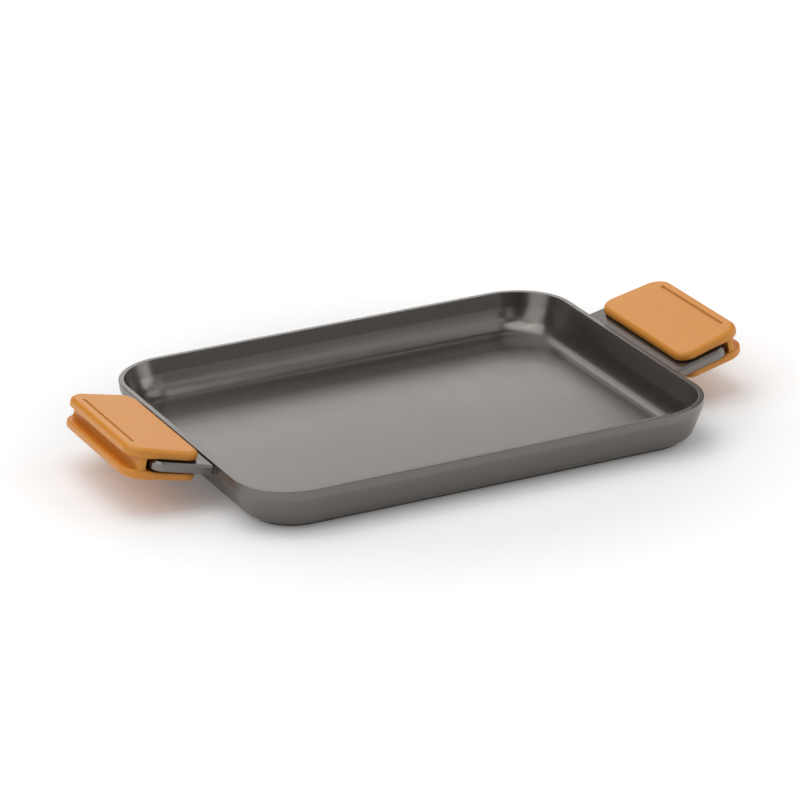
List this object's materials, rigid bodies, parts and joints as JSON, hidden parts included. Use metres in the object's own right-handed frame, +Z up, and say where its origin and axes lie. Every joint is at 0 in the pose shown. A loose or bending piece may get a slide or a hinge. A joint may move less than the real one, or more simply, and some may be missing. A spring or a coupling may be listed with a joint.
{
  "type": "griddle pan",
  "caption": "Rectangular cast-aluminium griddle pan with a smooth non-stick floor, drafted walls, tilted side tabs and pull-off orange silicone grips.",
  "frame": {"origin": "middle of the footprint, on the plane that the pan stands on", "axes": "+X along the long side from the left grip to the right grip, +Y across the pan away from the viewer, +Z up"},
  "size_m": [0.4722, 0.28, 0.0507],
  "materials": {
    "coated_casting": "satin non-stick coat",
    "base_steel": "brushed",
    "grip_silicone": "matte moulded silicone"
  },
  "bodies": {
    "pan": {"pan_body": "coated_casting", "induction_base": "base_steel"},
    "right_grip": {"grip_right": "grip_silicone"},
    "left_grip": {"grip_left": "grip_silicone"}
  },
  "joints": [
    {"name": "grip_right_pull", "type": "slide", "parent": "pan", "child": "right_grip", "axis": [0.9724, 0, 0.2334], "range_m": [0, 0.05]},
    {"name": "grip_left_pull", "type": "slide", "parent": "pan", "child": "left_grip", "axis": [-0.9724, 0, 0.2334], "range_m": [0, 0.05]}
  ]
}
